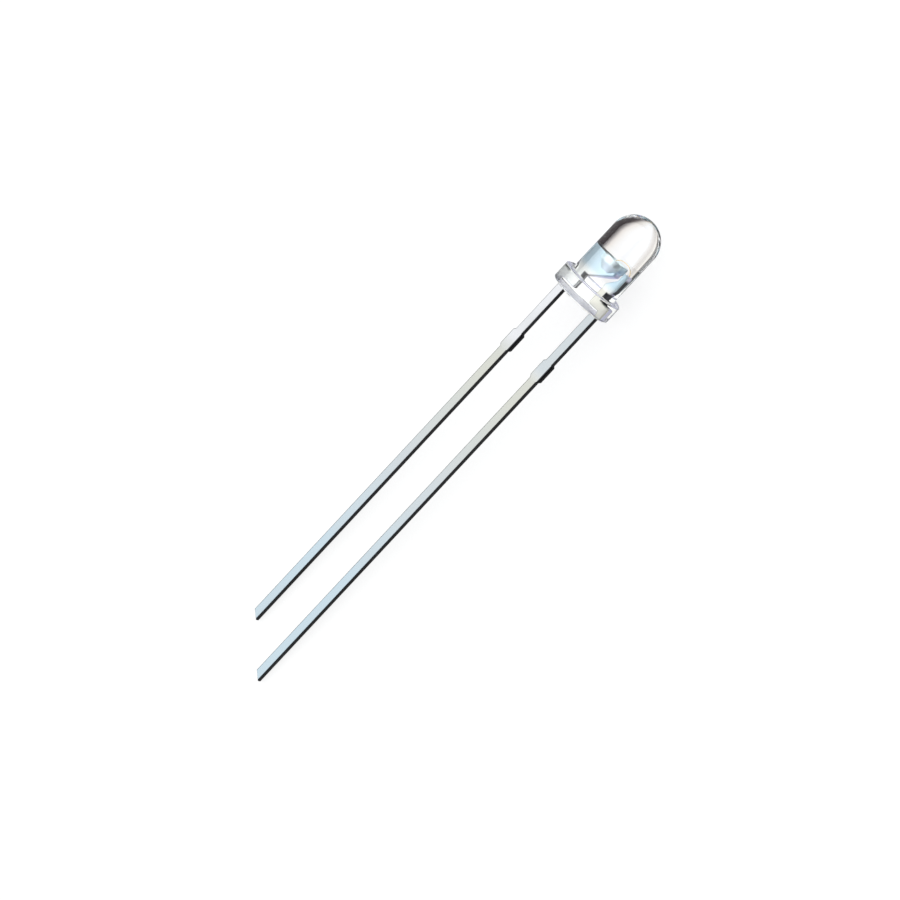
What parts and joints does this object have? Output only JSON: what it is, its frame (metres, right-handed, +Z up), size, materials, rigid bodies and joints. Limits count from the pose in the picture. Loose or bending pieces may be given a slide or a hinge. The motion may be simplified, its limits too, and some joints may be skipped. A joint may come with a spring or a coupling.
{
  "type": "through hole led",
  "caption": "Clear round-domed indicator lamp with a flanged cast lens, a reflector cup and chip sealed inside it, and long square solder leads.",
  "frame": {"origin": "bottom centre of the LED's box as it lies at rest, on the surface under it", "axes": "+X from the leads' tips to the dome, level (the lens axis rises 3.62 degrees from it), +Y from the anode to the cathode side, +Z up"},
  "size_m": [0.034, 0.0038, 0.004],
  "materials": {
    "clear_epoxy": "water-clear cast epoxy, as smooth as its mould",
    "tinned_steel": "stamped steel strip, bright tin plate with fine drawing marks",
    "chip": "polished semiconductor with sawn sides",
    "silver_adhesive": "dull silver-filled adhesive",
    "gold_wire": "bright drawn gold"
  },
  "bodies": {
    "root": {"epoxy_lens": "clear_epoxy", "cathode_lead": "tinned_steel", "anode_lead": "tinned_steel", "led_die": "chip", "die_attach": "silver_adhesive", "bond_wire": "gold_wire"}
  },
  "joints": []
}
